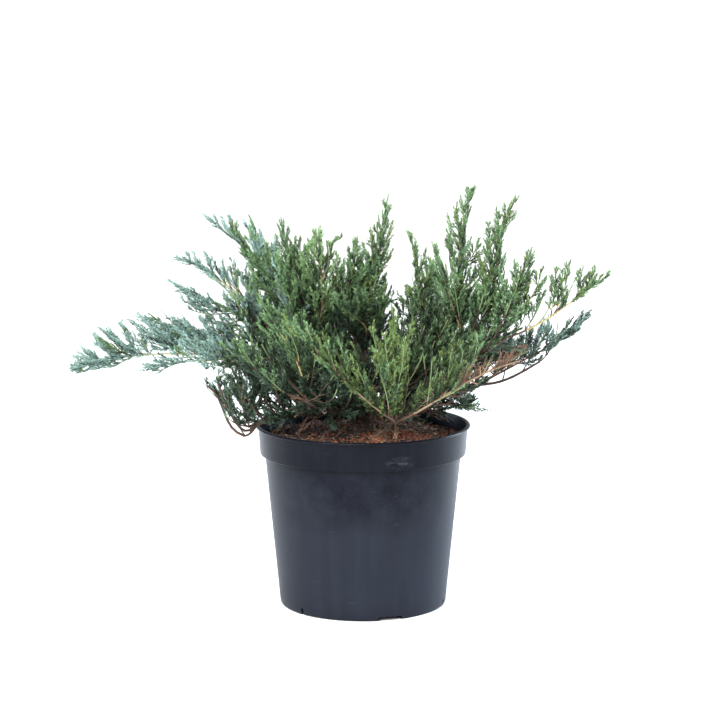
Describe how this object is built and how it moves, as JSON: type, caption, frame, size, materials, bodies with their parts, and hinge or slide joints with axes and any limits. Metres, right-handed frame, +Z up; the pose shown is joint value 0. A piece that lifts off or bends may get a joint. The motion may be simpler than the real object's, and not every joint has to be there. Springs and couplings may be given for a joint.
{
  "type": "potted savin juniper",
  "caption": "Spreading savin juniper shrub with feathery scale-leaf sprays, growing in a round black nursery pot that stands free on its flat underside.",
  "frame": {"origin": "middle of the flat boss under the pot, on the surface that the pot stands on", "axes": "+Z up along the pot's axis; +X along the crown's widest spread, to the right of the front view; -Y towards the front, where the fresh fan of shoots leans over the rim"},
  "size_m": [0.7013, 0.5228, 0.549],
  "materials": {
    "pot_plastic": "dusty satin black recycled plastic with fine scuffs",
    "potting_soil": "loose brown bark and peat mix",
    "juniper_bark": "rough red-brown flaking bark",
    "juniper_leaf_blue": "blue-green scale leaves, matt",
    "juniper_leaf_green": "mid-green scale leaves, matt",
    "juniper_leaf_pale": "pale green scale leaves, matt",
    "juniper_leaf_yellow": "fresh yellow-green scale leaves, matt",
    "juniper_leaf_dark": "dark green scale leaves in shade, matt",
    "juniper_leaf_dead": "dry brown scale leaves, matt"
  },
  "bodies": {
    "root": {"pot": "pot_plastic", "soil": "potting_soil", "trunk": "juniper_bark", "bough_left_low": "juniper_bark", "bough_left_mid": "juniper_bark", "bough_left_high": "juniper_bark", "bough_top_left": "juniper_bark", "bough_middle": "juniper_bark", "bough_right_tall": "juniper_bark", "bough_right": "juniper_bark", "bough_right_far": "juniper_bark", "bough_right_low": "juniper_bark", "bough_front": "juniper_bark", "bough_front_left": "juniper_bark", "bough_left_hang": "juniper_bark", "bough_front_low": "juniper_bark", "bough_back_left": "juniper_bark", "bough_back": "juniper_bark", "bough_back_right": "juniper_bark", "bough_back_left_low": "juniper_bark", "bough_back_right_low": "juniper_bark", "foliage_left_low_tip": "juniper_leaf_blue", "foliage_left_low_under": "juniper_leaf_blue", "foliage_left_mid_tip": "juniper_leaf_blue", "foliage_left_mid_low": "juniper_leaf_blue", "foliage_left_high_tip": "juniper_leaf_blue", "foliage_left_top": "juniper_leaf_blue", "foliage_top_left_outer": "juniper_leaf_blue", "foliage_top_left_inner": "juniper_leaf_green", "foliage_top_middle": "juniper_leaf_pale", "foliage_middle_tip": "juniper_leaf_green", "foliage_middle_left": "juniper_leaf_green", "foliage_inner_front": "juniper_leaf_green", "foliage_right_tall": "juniper_leaf_green", "foliage_right_lean": "juniper_leaf_green", "foliage_right_second": "juniper_leaf_green", "foliage_right_spike": "juniper_leaf_green", "foliage_right_far": "juniper_leaf_green", "foliage_right_short": "juniper_leaf_green", "foliage_right_low": "juniper_leaf_dark", "foliage_right_dead": "juniper_leaf_dead", "foliage_front_left": "juniper_leaf_yellow", "foliage_front_mid": "juniper_leaf_yellow", "foliage_front_right": "juniper_leaf_yellow", "foliage_front_left_low": "juniper_leaf_dark", "foliage_front_left_up": "juniper_leaf_green", "foliage_hang_outer": "juniper_leaf_dark", "foliage_hang_inner": "juniper_leaf_dark", "foliage_front_low_up": "juniper_leaf_yellow", "foliage_front_low_out": "juniper_leaf_dark", "foliage_back_left_out": "juniper_leaf_green", "foliage_back_left_up": "juniper_leaf_green", "foliage_back_out": "juniper_leaf_green", "foliage_back_up": "juniper_leaf_green", "foliage_back_low": "juniper_leaf_dark", "foliage_back_right_out": "juniper_leaf_green", "foliage_back_right_up": "juniper_leaf_green", "foliage_back_left_low": "juniper_leaf_dark", "foliage_back_right_low": "juniper_leaf_dark"}
  },
  "joints": []
}
